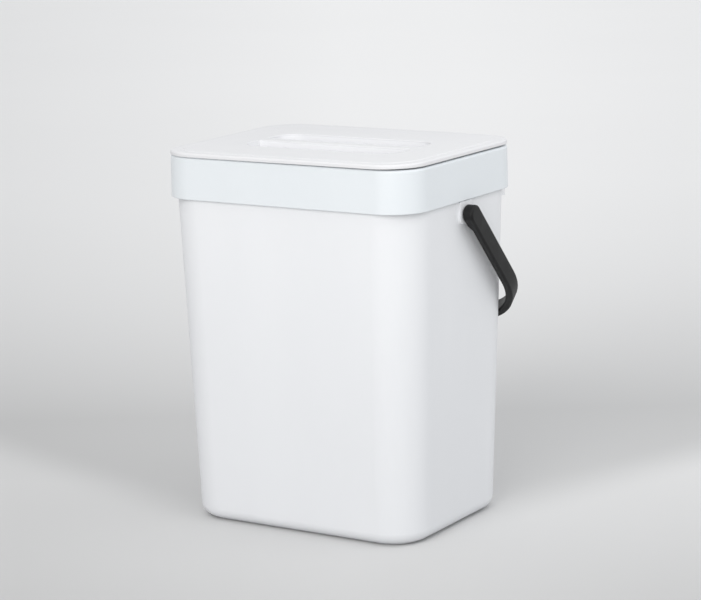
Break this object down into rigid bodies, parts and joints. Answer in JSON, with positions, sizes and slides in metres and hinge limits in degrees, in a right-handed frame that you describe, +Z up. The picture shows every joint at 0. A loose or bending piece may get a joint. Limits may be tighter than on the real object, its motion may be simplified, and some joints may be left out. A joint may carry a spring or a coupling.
{
  "type": "compost caddy",
  "caption": "Kitchen compost caddy: tapered plastic bucket with a carrying bail, a lift-off collar that holds the bin bag and a rear-hinged lid with two finger troughs.",
  "frame": {"origin": "centre of the base, on the surface the caddy stands on", "axes": "+Z up, +Y to the back (hinge and hanging lip side), +X towards the right-hand handle pivot when the hinge is at the back"},
  "size_m": [0.2468, 0.1871, 0.3004],
  "materials": {
    "bucket_white": "fine satin, moulded polypropylene",
    "collar_white": "fine satin, moulded polypropylene, slightly bluer",
    "lid_white": "fine satin, moulded polypropylene",
    "handle_black": "satin black",
    "seal_grey": "soft matt",
    "pin_steel": "drawn stainless"
  },
  "bodies": {
    "bucket": {"bucket": "bucket_white"},
    "collar": {"liner_collar": "collar_white", "hinge_pin_left": "pin_steel", "hinge_pin_right": "pin_steel"},
    "lid": {"lid": "lid_white", "lid_seal": "seal_grey"},
    "handle": {"handle": "handle_black"}
  },
  "joints": [
    {"name": "collar_lift", "type": "slide", "parent": "bucket", "child": "collar", "axis": [0, 0, 1], "range_m": [0, 0.045]},
    {"name": "lid_hinge", "type": "hinge", "parent": "collar", "child": "lid", "pos_m": [0, 0.0893, 0.2928], "axis": [-1, 0, 0], "range_deg": [0, 105]},
    {"name": "handle_swing", "type": "hinge", "parent": "bucket", "child": "handle", "pos_m": [0, 0, 0.2515], "axis": [1, 0, 0], "range_deg": [0, 274.1]}
  ]
}
